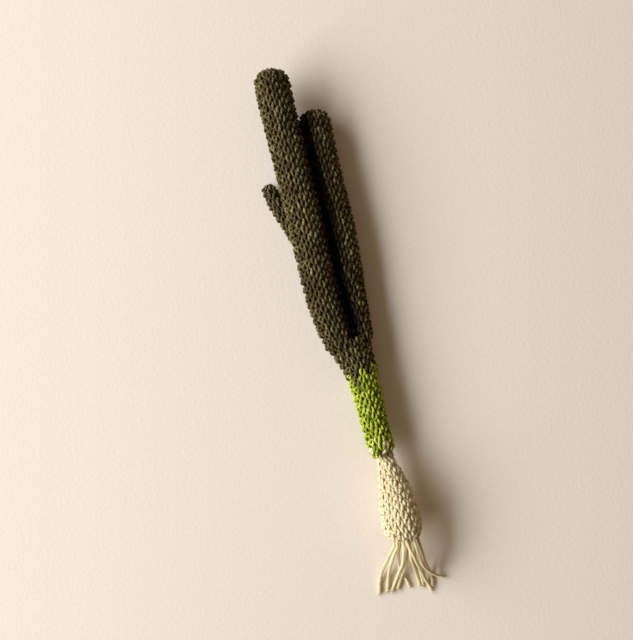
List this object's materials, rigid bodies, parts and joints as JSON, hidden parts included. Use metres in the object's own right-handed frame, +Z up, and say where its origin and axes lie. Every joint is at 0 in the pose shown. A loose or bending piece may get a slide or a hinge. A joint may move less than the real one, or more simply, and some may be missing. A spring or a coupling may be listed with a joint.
{
  "type": "crocheted green onion",
  "caption": "Crocheted yarn green onion lying down: cream bulb with yarn roots, lime band, dark green collar and stuffed tube leaves with a short side shoot.",
  "frame": {"origin": "on the table, under the middle of the object's box without its free roots", "axes": "+Y lengthwise from the roots to the leaf tips, +Z up from the table, +X to the side of the second leaf"},
  "size_m": [0.0476, 0.3045, 0.027],
  "materials": {
    "cream_yarn": "single crochet in cream plied cotton yarn, matt",
    "lime_yarn": "single crochet in lime green plied yarn, matt",
    "dark_green_yarn": "single crochet in dark olive green plied yarn, matt",
    "root_yarn": "free ends of cream plied yarn, matt",
    "fibre_stuffing": "loose off-white fibre filling"
  },
  "bodies": {
    "root": {"bulb_cover": "cream_yarn", "stem_cover": "lime_yarn", "sheath_cover": "dark_green_yarn", "long_leaf_cover": "dark_green_yarn", "second_leaf_cover": "dark_green_yarn", "short_shoot_cover": "dark_green_yarn", "stem_stuffing": "fibre_stuffing", "long_leaf_stuffing": "fibre_stuffing", "second_leaf_stuffing": "fibre_stuffing", "root_01": "root_yarn", "root_02": "root_yarn", "root_03": "root_yarn", "root_04": "root_yarn", "root_05": "root_yarn", "root_06": "root_yarn", "root_07": "root_yarn", "root_08": "root_yarn", "root_09": "root_yarn", "root_10": "root_yarn"}
  },
  "joints": []
}
